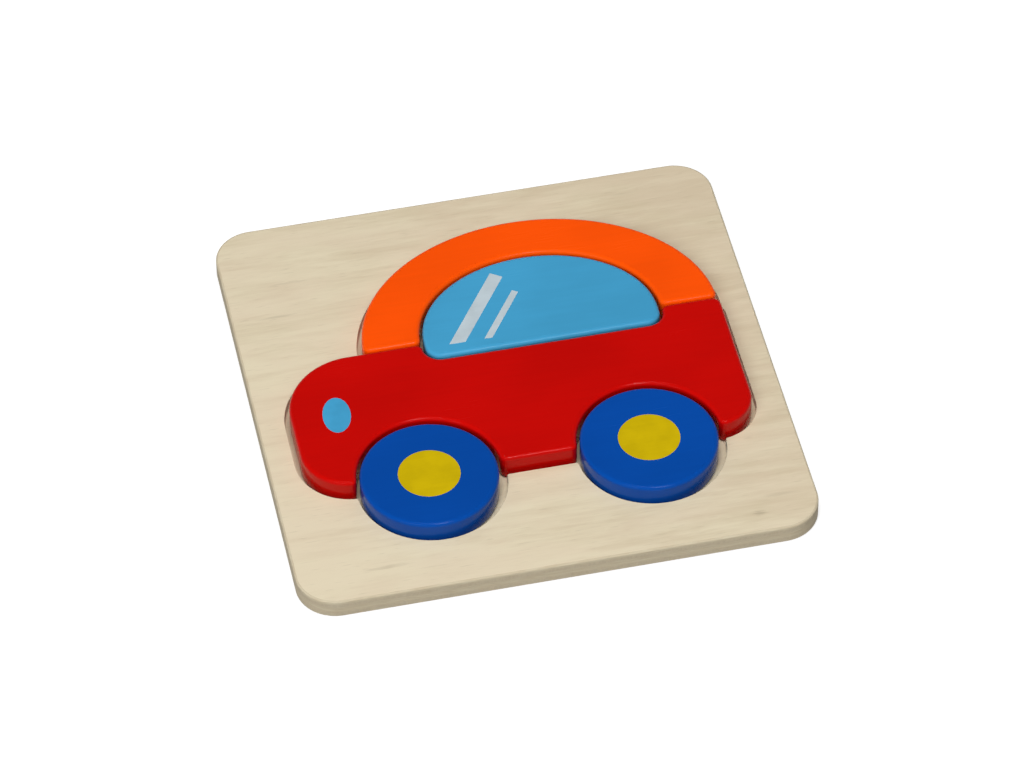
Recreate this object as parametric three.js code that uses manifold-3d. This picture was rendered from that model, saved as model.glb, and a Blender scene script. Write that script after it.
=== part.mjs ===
// Inset puzzle for small hands: a square plywood tray with a car-shaped recess, and five thick painted pieces
// that lie loose in it. Millimetres, +Z up. X runs along the car with its nose towards -X, Y runs from its
// wheels to its roof, and the origin is the centre of the tray's underside.
// The car has a frame of its own: x from the middle between the wheels, y from the lower edge of the body.
import * as THREE from "three";
import { mergeVertices } from "three/addons/utils/BufferGeometryUtils.js";
import Module from "manifold-3d";

// Tray: two sheets glued together, the upper one with the car cut out of it
const BASE_THICKNESS = 3;
const FRAME_THICKNESS = 3;
const TRAY_RIM = 8.2; // between the recess and the tray's front and rear sides
const TRAY_CORNER_RADIUS = 11.5;
const TRAY_EDGE_ROUND = 0.6;

// Recess: the car's outline with play all round, and where it lies on the tray
const RECESS_CLEARANCE = 1.45;
const POCKET_CLEARANCE = 1.75; // round a wheel
const POCKET_OFF_X = 0.6; // from the middle of the arch
const RECESS_OFF_X = -0.35; // from the middle of the tray
const RECESS_OFF_Y = 0.43;
const CAR_SLIDE = 0.36; // how far the pieces have slid from the middle of the recess
const CAR_HEADING = -96; // degrees from +X, the way that they have slid
const WHEEL_SLIDE = 0.72; // the same for the wheels in their pockets
const WHEEL_HEADING = -108;

// Loose pieces
const PIECE_THICKNESS = 8.2;
const PIECE_EDGE_ROUND = 1.3;
const SAWN_CORNER_CUT = 1.8 * PIECE_EDGE_ROUND; // a corner is rounded off over this length on both its sides
const SEAM_GAP = 0.5; // between body and roof
const WINDOW_GAP = 0.8; // round the window
const WHEEL_GAP = 1; // between an arch and a wheel in the middle of it

// Car body
const BODY_FRONT = 66.35; // from the middle between the wheels to the nose
const BODY_REAR = 64.35;
const BODY_HEIGHT = 49.9;
const HOOD_RADIUS = 20.25;
const NOSE_RADIUS = 14.55;
const TAIL_RADIUS = 11.55;
const BOOT_RADIUS = 2.5;

// Wheels
const WHEEL_DIAMETER = 39.6;
const WHEEL_BASE = 63.7;
const AXLE_DROP = 0.4; // centres of arches and pockets below the body's lower edge

// Window, and the roof as a band over it
const WINDOW_CENTRE_X = 11.45;
const WINDOW_LENGTH = 69.4;
const WINDOW_HEIGHT = 34.7;
const WINDOW_SINK = 6.1; // how far it reaches down into the body
const WINDOW_CORNER_RADIUS = 4.5;
const ROOF_FOOT = 17; // width of the band where it stands on the body
const ROOF_CROWN = 14.35; // width of the band at its top

// Painted marks
const PAINT_THICKNESS = 0.15;
const HUB_DIAMETER = 17.8;
const LAMP_WIDTH = 8.1;
const LAMP_HEIGHT = 13.7;
const LAMP_TILT = -6; // degrees, its top towards the rear
const LAMP_SETBACK = 13.05; // from the nose
const LAMP_DROP = 22.7; // from the body's upper edge
const SHINE_LEAN = 34; // degrees from upright, towards the rear
const SHINE_FOOT = 3.9; // above the window's lower edge
const WIDE_SHINE_WIDTH = 4;
const WIDE_SHINE_LENGTH = 29.8;
const WIDE_SHINE_SETBACK = 9.35; // foot of the bar, from the window's front end
const NARROW_SHINE_WIDTH = 2;
const NARROW_SHINE_LENGTH = 20.6;
const NARROW_SHINE_SETBACK = 18.5;

// Roughness of the finishes
const LACQUER = 0.35;
const PRINT = 0.4;
const BARE_WOOD = 0.7;

// How finely curves are stepped
const ARC_SEGMENT = 2.2;
const SHORTEST_EDGE = ARC_SEGMENT / 4;
const LEAST_ARC_STEPS = 5;
const EDGE_STEPS = 2;
const CORNER_STEPS = 4;
const SHARP_TURN = 40; // degrees: a sharper turn than this in an outline is a sawn corner
const CUT_OVERRUN = 1; // cutters reach this far past what they cut

// Sizes that follow from those above
const WHEEL_RADIUS = WHEEL_DIAMETER / 2;
const ROOF_Y = BODY_HEIGHT + SEAM_GAP;
const WINDOW_Y = BODY_HEIGHT - WINDOW_SINK;
const WINDOW_ARCH_HEIGHT = WINDOW_Y + WINDOW_HEIGHT - ROOF_Y;
const ROOF_HALF_LENGTH = WINDOW_LENGTH / 2 + WINDOW_GAP + ROOF_FOOT;
const ROOF_HEIGHT = WINDOW_ARCH_HEIGHT + WINDOW_GAP + ROOF_CROWN;
const CAR_LOWEST = -AXLE_DROP - WHEEL_RADIUS;
const CAR_HIGHEST = ROOF_Y + ROOF_HEIGHT;
const TRAY_SIDE = BODY_FRONT + BODY_REAR + 2 * RECESS_CLEARANCE + 2 * TRAY_RIM;
const TRAY_THICKNESS = BASE_THICKNESS + FRAME_THICKNESS;
const RECESS_X = RECESS_OFF_X + (BODY_FRONT - BODY_REAR) / 2;
const RECESS_Y = RECESS_OFF_Y - (CAR_LOWEST + CAR_HIGHEST) / 2;
const CAR_X = RECESS_X + CAR_SLIDE * Math.cos(radians(CAR_HEADING));
const CAR_Y = RECESS_Y + CAR_SLIDE * Math.sin(radians(CAR_HEADING));
const WHEELS_X = RECESS_X + WHEEL_SLIDE * Math.cos(radians(WHEEL_HEADING));
const WHEELS_Y = RECESS_Y + WHEEL_SLIDE * Math.sin(radians(WHEEL_HEADING));

const wasm = await Module();
wasm.setup();

function radians(degrees) {
  return THREE.MathUtils.degToRad(degrees);
}

// Points along an elliptical arc, both ends included. Angles are in degrees; a falling angle runs clockwise.
function arc(x, y, radiusX, radiusY, from, to) {
  const length = radians(Math.abs(to - from)) * Math.max(radiusX, radiusY);
  const steps = Math.max(LEAST_ARC_STEPS, Math.ceil(length / ARC_SEGMENT));
  const curve = new THREE.EllipseCurve(x, y, radiusX, radiusY, radians(from), radians(to), to < from);
  return curve.getPoints(steps);
}

// A whole ellipse about the origin, as an open list of points.
function ellipse(radiusX, radiusY) {
  return arc(0, 0, radiusX, radiusY, 0, 360).slice(0, -1);
}

// The quarter arc that rounds the square corner at (x, y), starting at the angle from and running
// anticlockwise. A margin moves the arc out and keeps its centre.
function corner(x, y, radius, from, margin = 0) {
  const middle = radians(from + 45);
  const centreX = x - radius * Math.sign(Math.cos(middle));
  const centreY = y - radius * Math.sign(Math.sin(middle));
  return arc(centreX, centreY, radius + margin, radius + margin, from, from + 90);
}

// Where the way from an outer point to an inner one meets a circle.
function meeting(outer, inner, centre, radius) {
  const step = inner.clone().sub(outer);
  const offset = outer.clone().sub(centre);
  const a = step.lengthSq();
  const b = offset.dot(step);
  const c = offset.lengthSq() - radius * radius;
  return outer.clone().addScaledVector(step, (-b - Math.sqrt(b * b - a * c)) / a);
}

// An outline with a round bite taken out of it, where it runs through a circle.
function biteOut(points, centre, radius) {
  const next = (i) => (i + 1) % points.length;
  const inside = points.map((point) => point.distanceTo(centre) < radius);
  const last = points.findIndex((_, i) => !inside[i] && inside[next(i)]);
  const first = next(points.findIndex((_, i) => inside[i] && !inside[next(i)]));
  const entry = meeting(points[last], points[next(last)], centre, radius);
  const exit = meeting(points[first], points.at(first - 1), centre, radius);
  const from = THREE.MathUtils.radToDeg(entry.sub(centre).angle());
  const to = THREE.MathUtils.radToDeg(exit.sub(centre).angle());
  const turned = [...points.slice(first), ...points.slice(0, first)];
  const kept = turned.filter((point) => point.distanceTo(centre) >= radius);
  return [...kept, ...arc(centre.x, centre.y, radius, radius, from, to > from ? to - 360 : to)];
}

// The point that lies a given length along an outline from one of its corners, and the points passed on the way.
// A point just beyond it counts as passed, so that no edge is left too short to be rounded.
function along(points, start, step, length) {
  const passed = [start];
  let here = points[start];
  let left = length;
  for (;;) {
    const index = (passed.at(-1) + step + points.length) % points.length;
    const reach = here.distanceTo(points[index]);
    if (reach < left + SHORTEST_EDGE) passed.push(index);
    if (reach > left) return { point: here.clone().lerp(points[index], left / reach), passed };
    left -= reach;
    here = points[index];
  }
}

// An outline with its sharp corners rounded off, as sanding leaves them.
function sanded(points) {
  const rounds = new Map();
  const dropped = new Set();
  points.forEach((point, i) => {
    const arriving = point.clone().sub(points.at(i - 1));
    const leaving = points[(i + 1) % points.length].clone().sub(point);
    if (arriving.angleTo(leaving) < radians(SHARP_TURN)) return;
    const before = along(points, i, -1, SAWN_CORNER_CUT);
    const after = along(points, i, 1, SAWN_CORNER_CUT);
    [...before.passed, ...after.passed].forEach((index) => dropped.add(index));
    rounds.set(i, new THREE.QuadraticBezierCurve(before.point, point, after.point).getPoints(CORNER_STEPS));
  });
  return points.flatMap((point, i) => rounds.get(i) ?? (dropped.has(i) ? [] : [point]));
}

// Outlines in the car's frame, anticlockwise. A margin grows them all round.
function bodyCorners(margin) {
  return {
    nose: corner(-BODY_FRONT, 0, NOSE_RADIUS, 180, margin),
    tail: corner(BODY_REAR, 0, TAIL_RADIUS, 270, margin),
    boot: corner(BODY_REAR, BODY_HEIGHT, BOOT_RADIUS, 0, margin),
    hood: corner(-BODY_FRONT, BODY_HEIGHT, HOOD_RADIUS, 90, margin),
  };
}

function windowOutline(margin) {
  const half = WINDOW_LENGTH / 2;
  return [
    ...corner(WINDOW_CENTRE_X - half, WINDOW_Y, WINDOW_CORNER_RADIUS, 180, margin),
    ...corner(WINDOW_CENTRE_X + half, WINDOW_Y, WINDOW_CORNER_RADIUS, 270, margin),
    ...arc(WINDOW_CENTRE_X, ROOF_Y, half + margin, WINDOW_ARCH_HEIGHT + margin, 0, 180),
  ];
}

function roofArch(margin) {
  return arc(WINDOW_CENTRE_X, ROOF_Y, ROOF_HALF_LENGTH + margin, ROOF_HEIGHT + margin, 0, 180);
}

// The roof is the band between its own arch and the window's.
function roofOutline() {
  const half = WINDOW_LENGTH / 2 + WINDOW_GAP;
  const inner = arc(WINDOW_CENTRE_X, ROOF_Y, half, WINDOW_ARCH_HEIGHT + WINDOW_GAP, 180, 0);
  return sanded([...roofArch(0), ...inner]);
}

// The body has a notch for the window's lower part, and an arch for each wheel bitten out of its lower edge.
function bodyOutline() {
  const { nose, tail, boot, hood } = bodyCorners(0);
  const half = WINDOW_LENGTH / 2 + WINDOW_GAP;
  const notch = [
    new THREE.Vector2(WINDOW_CENTRE_X - half, BODY_HEIGHT),
    ...windowOutline(WINDOW_GAP).filter((point) => point.y < BODY_HEIGHT),
    new THREE.Vector2(WINDOW_CENTRE_X + half, BODY_HEIGHT),
  ];
  const overWheels = wheelCentres().map((at) => new THREE.Vector2(at.x, 0));
  const whole = [...nose, ...overWheels, ...tail, ...boot, ...notch.reverse(), ...hood];
  return sanded(wheelCentres().reduce((cut, at) => biteOut(cut, at, WHEEL_RADIUS + WHEEL_GAP), whole));
}

function wheelCentres() {
  return [-1, 1].map((side) => new THREE.Vector2((side * WHEEL_BASE) / 2, -AXLE_DROP));
}

// A leaning bar with a level foot and a square top, its foot's middle at the origin.
function shineOutline(width, length) {
  const upright = new THREE.Vector2(0, length).rotateAround(new THREE.Vector2(), -radians(SHINE_LEAN));
  const halfTop = new THREE.Vector2(width / 2, 0).rotateAround(new THREE.Vector2(), -radians(SHINE_LEAN));
  const halfFoot = new THREE.Vector2(width / 2 / Math.cos(radians(SHINE_LEAN)), 0);
  return [
    halfFoot.clone().negate(),
    halfFoot,
    upright.clone().add(halfTop),
    upright.clone().sub(halfTop),
  ];
}

// A plain slab of an outline, standing on z = 0.
function slab(points, thickness) {
  return new THREE.ExtrudeGeometry(new THREE.Shape(points), { depth: thickness, bevelEnabled: false });
}

// A board of an outline with its upper and lower edges rounded, standing on z = 0.
function board(points, thickness, round) {
  const geometry = new THREE.ExtrudeGeometry(new THREE.Shape(points), {
    depth: thickness - 2 * round,
    bevelThickness: round,
    bevelSize: round,
    bevelOffset: -round,
    bevelSegments: EDGE_STEPS,
  });
  return geometry.translate(0, 0, round);
}

// A closed geometry as a solid that can be joined and cut.
function solid(geometry) {
  const bare = geometry.clone();
  bare.deleteAttribute("normal");
  bare.deleteAttribute("uv");
  const merged = mergeVertices(bare);
  return new wasm.Manifold(
    new wasm.Mesh({
      numProp: 3,
      vertProperties: merged.attributes.position.array,
      triVerts: new Uint32Array(merged.index.array),
    }),
  );
}

// A joined or cut solid as a geometry again.
function skin(cut) {
  const { vertProperties, triVerts } = cut.getMesh();
  const geometry = new THREE.BufferGeometry();
  geometry.setAttribute("position", new THREE.BufferAttribute(vertProperties, 3));
  geometry.setIndex(new THREE.BufferAttribute(triVerts, 1));
  geometry.computeVertexNormals();
  return geometry;
}

// The cutter for the recess: roof, body and wheels with their clearance, joined. The roof's part runs down into
// the body's, so that no sliver is left at the seam.
function recessCutter() {
  const height = FRAME_THICKNESS + 2 * CUT_OVERRUN;
  const roof = roofArch(RECESS_CLEARANCE);
  const feet = [roof.at(-1), roof[0]].map((foot) => new THREE.Vector2(foot.x, BODY_HEIGHT / 2));
  const outlines = [[...roof, ...feet], Object.values(bodyCorners(RECESS_CLEARANCE)).flat()];
  const pocket = ellipse(WHEEL_RADIUS + POCKET_CLEARANCE, WHEEL_RADIUS + POCKET_CLEARANCE);
  const aside = new THREE.Vector2(POCKET_OFF_X, 0);
  wheelCentres().forEach((at) => outlines.push(pocket.map((point) => point.clone().add(at).add(aside))));
  return outlines
    .map((outline) => slab(outline, height).translate(RECESS_X, RECESS_Y, BASE_THICKNESS - CUT_OVERRUN))
    .map(solid)
    .reduce((joined, next) => joined.add(next));
}

function trayOutline() {
  const half = TRAY_SIDE / 2;
  return [
    ...corner(-half, -half, TRAY_CORNER_RADIUS, 180),
    ...corner(half, -half, TRAY_CORNER_RADIUS, 270),
    ...corner(half, half, TRAY_CORNER_RADIUS, 0),
    ...corner(-half, half, TRAY_CORNER_RADIUS, 90),
  ];
}

function finish(color, roughness) {
  return new THREE.MeshStandardMaterial({ color, roughness, metalness: 0 });
}

function piece(name, geometry, material) {
  const mesh = new THREE.Mesh(geometry, material);
  mesh.name = name;
  return mesh;
}

function loosePiece(name, outline, color) {
  return piece(name, board(outline, PIECE_THICKNESS, PIECE_EDGE_ROUND), finish(color, LACQUER));
}

// A coat of paint on top of a loose piece.
function mark(name, outline, color) {
  const mesh = piece(name, slab(outline, PAINT_THICKNESS), finish(color, PRINT));
  mesh.position.z = PIECE_THICKNESS;
  return mesh;
}

function makeTray() {
  const whole = solid(board(trayOutline(), TRAY_THICKNESS, TRAY_EDGE_ROUND));
  const lowerDepth = BASE_THICKNESS + CUT_OVERRUN;
  const lowerBox = new THREE.BoxGeometry(2 * TRAY_SIDE, 2 * TRAY_SIDE, lowerDepth);
  const lower = solid(lowerBox.translate(0, 0, BASE_THICKNESS - lowerDepth / 2));
  const tray = new THREE.Group();
  tray.add(
    piece("tray_base", skin(whole.intersect(lower)), finish("#d9cba8", BARE_WOOD)),
    piece("tray_frame", skin(whole.subtract(lower).subtract(recessCutter())), finish("#ddd0af", BARE_WOOD)),
  );
  return tray;
}

function makeWindow() {
  const shines = new THREE.Group();
  shines.position.set(WINDOW_CENTRE_X - WINDOW_LENGTH / 2, WINDOW_Y + SHINE_FOOT, 0);
  const wide = mark("wide_shine", shineOutline(WIDE_SHINE_WIDTH, WIDE_SHINE_LENGTH), "#c8d4dc");
  wide.position.x = WIDE_SHINE_SETBACK;
  const narrow = mark("narrow_shine", shineOutline(NARROW_SHINE_WIDTH, NARROW_SHINE_LENGTH), "#c8d4dc");
  narrow.position.x = NARROW_SHINE_SETBACK;
  shines.add(wide, narrow);
  const window = new THREE.Group();
  window.add(loosePiece("window", windowOutline(0), "#429cc8"), shines);
  return window;
}

function makeBody() {
  const lamp = mark("headlight", ellipse(LAMP_WIDTH / 2, LAMP_HEIGHT / 2), "#429cc8");
  lamp.position.x = LAMP_SETBACK - BODY_FRONT;
  lamp.position.y = BODY_HEIGHT - LAMP_DROP;
  lamp.rotation.z = radians(LAMP_TILT);
  const body = new THREE.Group();
  body.add(loosePiece("car_body", bodyOutline(), "#c00a02"), lamp);
  return body;
}

function makeWheel(name, centre) {
  const wheel = new THREE.Group();
  wheel.position.set(centre.x, centre.y, 0);
  wheel.add(
    loosePiece(`${name}_wheel`, ellipse(WHEEL_RADIUS, WHEEL_RADIUS), "#05449c"),
    mark(`${name}_hub_spot`, ellipse(HUB_DIAMETER / 2, HUB_DIAMETER / 2), "#c7ac03"),
  );
  return wheel;
}

function makeCar() {
  const car = new THREE.Group();
  car.position.set(CAR_X, CAR_Y, BASE_THICKNESS);
  car.add(loosePiece("roof", roofOutline(), "#ff5000"), makeWindow(), makeBody());
  return car;
}

function makeWheels() {
  const [front, rear] = wheelCentres();
  const wheels = new THREE.Group();
  wheels.position.set(WHEELS_X, WHEELS_Y, BASE_THICKNESS);
  wheels.add(makeWheel("front", front), makeWheel("rear", rear));
  return wheels;
}

const puzzle = new THREE.Group();
puzzle.name = "inset_puzzle";
puzzle.add(makeTray(), makeCar(), makeWheels());

export default puzzle;
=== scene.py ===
"""Inset puzzle: a square tray of plywood with a car-shaped recess, and five thick painted pieces loose in it.

Laid out as a Blender add-on. Everything is in metres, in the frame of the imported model: X runs along the car
with its nose towards -X, Y from its wheels to its roof and Z up, and the origin is the centre of the tray's
underside.
"""
from types import SimpleNamespace

import bpy
import numpy as np
from bpy.props import FloatProperty, FloatVectorProperty, PointerProperty
from mathutils import Matrix, Vector


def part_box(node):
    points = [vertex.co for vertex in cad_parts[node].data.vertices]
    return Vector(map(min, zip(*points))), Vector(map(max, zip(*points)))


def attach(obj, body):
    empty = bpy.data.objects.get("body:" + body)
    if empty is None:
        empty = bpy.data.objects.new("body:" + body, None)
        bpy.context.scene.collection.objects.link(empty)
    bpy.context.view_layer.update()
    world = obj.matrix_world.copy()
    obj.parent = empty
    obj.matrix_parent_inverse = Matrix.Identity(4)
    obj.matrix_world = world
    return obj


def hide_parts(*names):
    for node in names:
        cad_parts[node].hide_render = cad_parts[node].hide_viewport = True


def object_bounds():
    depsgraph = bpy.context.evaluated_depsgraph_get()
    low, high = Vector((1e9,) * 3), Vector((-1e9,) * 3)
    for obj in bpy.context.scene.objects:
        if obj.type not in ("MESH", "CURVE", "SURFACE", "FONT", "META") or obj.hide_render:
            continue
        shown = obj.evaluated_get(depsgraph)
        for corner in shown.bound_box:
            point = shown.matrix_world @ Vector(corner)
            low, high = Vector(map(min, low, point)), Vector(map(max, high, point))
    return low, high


bl_info = {
    "name": "Inset Puzzle Car",
    "version": (1, 0, 0),
    "blender": (4, 5, 0),
    "location": "3D View > Sidebar > Puzzle",
    "description": "Builds a wooden inset puzzle: a plywood tray and the painted pieces of a car",
    "category": "Object",
}

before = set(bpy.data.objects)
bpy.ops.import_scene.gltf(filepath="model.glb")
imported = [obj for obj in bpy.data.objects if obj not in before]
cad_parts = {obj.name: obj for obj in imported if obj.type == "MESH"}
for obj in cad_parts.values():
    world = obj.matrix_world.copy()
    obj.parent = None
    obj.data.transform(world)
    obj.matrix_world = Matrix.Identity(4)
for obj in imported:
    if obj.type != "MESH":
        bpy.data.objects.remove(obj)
CAD_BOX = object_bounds()

MM = 0.001
DRAWN_STEP = 0.1 * MM  # spacing of points while an outline is drawn
PIECE_STEP = 0.25 * MM  # spacing of points along a finished outline
TRAY_STEP = 0.5 * MM
ROUND_STEPS = 9  # points over a rounded edge
SHARP_TURN = np.radians(40)  # a sharper turn in an outline is a sawn corner
TIGHTEST_ROUND = 0.8  # largest edge radius, as a share of the radius of the outline's own bend
EASED_POINTS = 6  # points on both sides over which a change of the edge radius is spread
SANDING_SWAY = ((3, 0.4), (7, 2.1), (17, 4.4))  # waves round an outline and the start of each
GRAIN_WAVES = (45, 900, 900)  # grain under paint, in waves per metre along each axis
PAINT_RELIEF = 0.006 * MM  # depth of orange peel and grain in gloss paint
PRINT_RELIEF = 0.004 * MM
WOOD_RELIEF = 0.03 * MM
PLY_WANDER = 0.2 * MM  # how far the plies of a sawn edge wander up and down
KNOT_SIZE = (5.5 * MM, 2.2 * MM)
FLOOR_DROP = 0.05 * MM  # from the tray's underside to the floor
FLOOR_SHADES = (0.54, 0.56)
FLOOR_LIFT = 0.6  # light of the floor's own where the camera sees it
HORIZON_RISE = (0.15, 0.6)  # sine of the elevation where the horizon ends and the ceiling starts
SENSOR_WIDTH = 36.0
FAR_CLIP = 100.0
WHITE = (1.0, 1.0, 1.0, 1.0)
BROWN_STREAKS = MM * np.array([  # in the face veneer: x, y, length and breadth of each
    [-57, 51, 34, 3.0],
    [-62, 38, 20, 2.4],
    [-49, -65, 30, 3.4],
    [65, -62, 22, 3.0],
    [48, 66, 20, 2.4],
])


# Sizes, colours and stage that a user would change


class LoosePieceSizes(bpy.types.PropertyGroup):
    """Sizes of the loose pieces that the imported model's boxes don't give."""

    edge_round: FloatProperty(
        name="Edge round", description="Radius of the rounded edges", default=1.3 * MM, unit="LENGTH")
    edge_wander: FloatProperty(
        name="Edge wander", description="Share by which hand sanding varies that radius", default=0.06)
    corner_cut: FloatProperty(
        name="Corner cut", description="Length over which a sawn corner is sanded round on both its sides",
        default=2.2 * MM, unit="LENGTH")
    wheel_gap: FloatProperty(
        name="Wheel gap", description="Gap between an arch and a wheel in the middle of it", default=1.0 * MM,
        unit="LENGTH")
    wheel_slip: FloatVectorProperty(
        name="Wheel slip", description="Where a wheel lies, from the middle of its arch", size=2,
        default=(-0.185 * MM, -0.327 * MM), unit="LENGTH")
    window_gap: FloatProperty(
        name="Window gap", description="Gap round the window", default=0.8 * MM, unit="LENGTH")
    hood_radius: FloatProperty(
        name="Hood radius", description="Round of the body over its nose", default=20.25 * MM, unit="LENGTH")
    nose_radius: FloatProperty(
        name="Nose radius", description="Round of the body under its nose", default=14.55 * MM, unit="LENGTH")
    tail_radius: FloatProperty(
        name="Tail radius", description="Round of the body behind the rear wheel", default=11.55 * MM,
        unit="LENGTH")
    boot_radius: FloatProperty(
        name="Boot radius", description="Round of the body under the roof's rear foot", default=2.5 * MM,
        unit="LENGTH")
    window_corner: FloatProperty(
        name="Window corner", description="Round of the window's lower corners", default=4.5 * MM,
        unit="LENGTH")


class PrintedMarkSizes(bpy.types.PropertyGroup):
    """Sizes of the marks printed on the pieces."""

    thickness: FloatProperty(
        name="Thickness", description="Thickness of the printed coat", default=0.06 * MM, unit="LENGTH")
    lamp_width: FloatProperty(
        name="Headlight width", description="Across the headlight", default=8.1 * MM, unit="LENGTH")
    lamp_height: FloatProperty(
        name="Headlight height", description="Along the headlight", default=13.7 * MM, unit="LENGTH")
    lamp_tilt: FloatProperty(
        name="Headlight tilt", description="Turn of the headlight", default=np.radians(-6), subtype="ANGLE")
    shine_lean: FloatProperty(
        name="Shine lean", description="Lean of the shine bars from upright", default=np.radians(34),
        subtype="ANGLE")
    wide_shine: FloatProperty(
        name="Wide shine", description="Width of the wider bar", default=4.0 * MM, unit="LENGTH")
    narrow_shine: FloatProperty(
        name="Narrow shine", description="Width of the narrower bar", default=2.0 * MM, unit="LENGTH")


class TraySizes(bpy.types.PropertyGroup):
    """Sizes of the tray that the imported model's boxes don't give."""

    corner_radius: FloatProperty(
        name="Corner radius", description="Round of the tray's four corners", default=11.5 * MM,
        unit="LENGTH")
    edge_round: FloatProperty(
        name="Edge round", description="Radius of the tray's rounded edges", default=0.6 * MM, unit="LENGTH")
    rim_break: FloatProperty(
        name="Rim break", description="Radius of the recess's upper edge", default=0.15 * MM, unit="LENGTH")
    glue_line: FloatProperty(
        name="Glue line", description="Groove between the two sheets", default=0.06 * MM, unit="LENGTH")
    clearance: FloatProperty(
        name="Clearance", description="Play of the pieces in the recess", default=1.45 * MM, unit="LENGTH")
    pocket_clearance: FloatProperty(
        name="Pocket clearance", description="Play of a wheel in its pocket", default=1.75 * MM,
        unit="LENGTH")
    pocket_shift: FloatProperty(
        name="Pocket shift", description="How far a pocket lies behind the middle of its arch",
        default=0.6 * MM, unit="LENGTH")
    slide: FloatVectorProperty(
        name="Slide", description="How far the pieces have slid from the middle of the recess", size=2,
        default=(-0.038 * MM, -0.358 * MM), unit="LENGTH")
    knot: FloatVectorProperty(
        name="Knot", description="Place of the pin knot in the front sheet", size=3,
        default=(57 * MM, -68 * MM, 6 * MM), unit="LENGTH")


class Finishes(bpy.types.PropertyGroup):
    """Colours of the paints and of the wood, scene linear."""

    red: FloatVectorProperty(
        name="Body red", description="Paint of the body", subtype="COLOR", default=(0.53, 0.0015, 0.0004))
    orange: FloatVectorProperty(
        name="Roof orange", description="Paint of the roof", subtype="COLOR", default=(0.96, 0.082, 0.0008))
    sky_blue: FloatVectorProperty(
        name="Window blue", description="Paint of the window and the headlight", subtype="COLOR",
        default=(0.055, 0.33, 0.57))
    blue: FloatVectorProperty(
        name="Wheel blue", description="Paint of the wheels", subtype="COLOR", default=(0.001, 0.063, 0.35))
    yellow: FloatVectorProperty(
        name="Hub yellow", description="Print of the hub spots", subtype="COLOR", default=(0.57, 0.41, 0.001))
    shine: FloatVectorProperty(
        name="Shine white", description="Print of the shine bars", subtype="COLOR",
        default=(0.49, 0.57, 0.615))
    pale_wood: FloatVectorProperty(
        name="Pale wood", description="Lighter streaks of the veneer", subtype="COLOR",
        default=(0.74, 0.655, 0.475))
    brown_wood: FloatVectorProperty(
        name="Brown wood", description="Darker streaks of the veneer", subtype="COLOR",
        default=(0.61, 0.512, 0.355))
    rosy_wood: FloatVectorProperty(
        name="Rosy wood", description="Warmer drifts of the veneer", subtype="COLOR",
        default=(0.71, 0.58, 0.435))
    core_wood: FloatVectorProperty(
        name="Core wood", description="Middle ply where the edge shows it", subtype="COLOR",
        default=(0.56, 0.47, 0.34))


class StageSettings(bpy.types.PropertyGroup):
    """Camera, lamps and surroundings."""

    camera_place: FloatVectorProperty(
        name="Camera", description="Place of the camera", default=(-0.21334, -1.05989, 1.13163),
        subtype="TRANSLATION", unit="LENGTH")
    camera_aim: FloatVectorProperty(
        name="Aim", description="Point in the middle of the picture", default=(-0.00034, -0.00351, 0.006),
        subtype="TRANSLATION", unit="LENGTH")
    camera_roll: FloatProperty(
        name="Roll", description="Turn of the camera about its view", default=np.radians(-0.946),
        subtype="ANGLE")
    camera_lens: FloatProperty(
        name="Lens", description="Focal length", default=190.24, unit="CAMERA")
    lamp_place: FloatVectorProperty(
        name="Lamp place", description="Place of the lamp, above and a little in front of the tray",
        default=(-0.09, -0.25, 2.1), subtype="TRANSLATION", unit="LENGTH")
    lamp_size: FloatProperty(
        name="Lamp size", description="Side of the lamp's square face", default=0.8, unit="LENGTH")
    lamp_power: FloatProperty(
        name="Lamp power", description="Power of the lamp", default=24.0, unit="POWER")
    fill_place: FloatVectorProperty(
        name="Fill place", description="Place of the broad fill light in front of the tray",
        default=(-1.0, -1.2, 1.35), subtype="TRANSLATION", unit="LENGTH")
    fill_size: FloatProperty(
        name="Fill size", description="Side of the fill light's square face", default=1.0, unit="LENGTH")
    fill_power: FloatProperty(
        name="Fill power", description="Power of the fill light", default=18.0, unit="POWER")
    glint_place: FloatVectorProperty(
        name="Glint place", description="Place of the small lamp that the rounded edges mirror",
        default=(0.2, -1.15, 1.75), subtype="TRANSLATION", unit="LENGTH")
    glint_size: FloatProperty(
        name="Glint size", description="Side of the small lamp's square face", default=0.4, unit="LENGTH")
    glint_power: FloatProperty(
        name="Glint power", description="Power of the small lamp", default=6.5, unit="POWER")
    ceiling: FloatProperty(
        name="Ceiling", description="Brightness of the surroundings overhead", default=0.1)
    horizon: FloatProperty(
        name="Horizon", description="Brightness of the surroundings near the floor", default=0.22)
    floor_side: FloatProperty(
        name="Floor side", description="Side of the floor", default=12.0, unit="LENGTH")


# Outlines, drawn anticlockwise in the plane of the tray as arrays of points


def line(start, end):
    """A straight run: start plus a share of the way to end."""
    start, end = np.array(start, float), np.array(end, float)
    count = max(2, int(np.linalg.norm(end - start) / DRAWN_STEP))
    return start + np.linspace(0, 1, count)[:, None] * (end - start)


def arc(centre, radii, start, end):
    """Part of an ellipse: centre plus radii times cosine and sine of an angle in degrees, start to end."""
    radii = np.broadcast_to(np.array(radii, float), 2)
    count = max(8, int(np.radians(abs(end - start)) * radii.max() / DRAWN_STEP))
    angle = np.radians(np.linspace(start, end, count))
    return np.array(centre) + radii * np.column_stack([np.cos(angle), np.sin(angle)])


def bearing(centre, point):
    """Angle in degrees, from 0 to 360, at which a point is seen from a centre."""
    across, up = np.array(point) - np.array(centre)
    return np.degrees(np.arctan2(up, across)) % 360


def half_chord(centre, radius, height):
    """Half the width of a circle at a height."""
    return np.sqrt(radius**2 - (height - centre[1]) ** 2)


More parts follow.
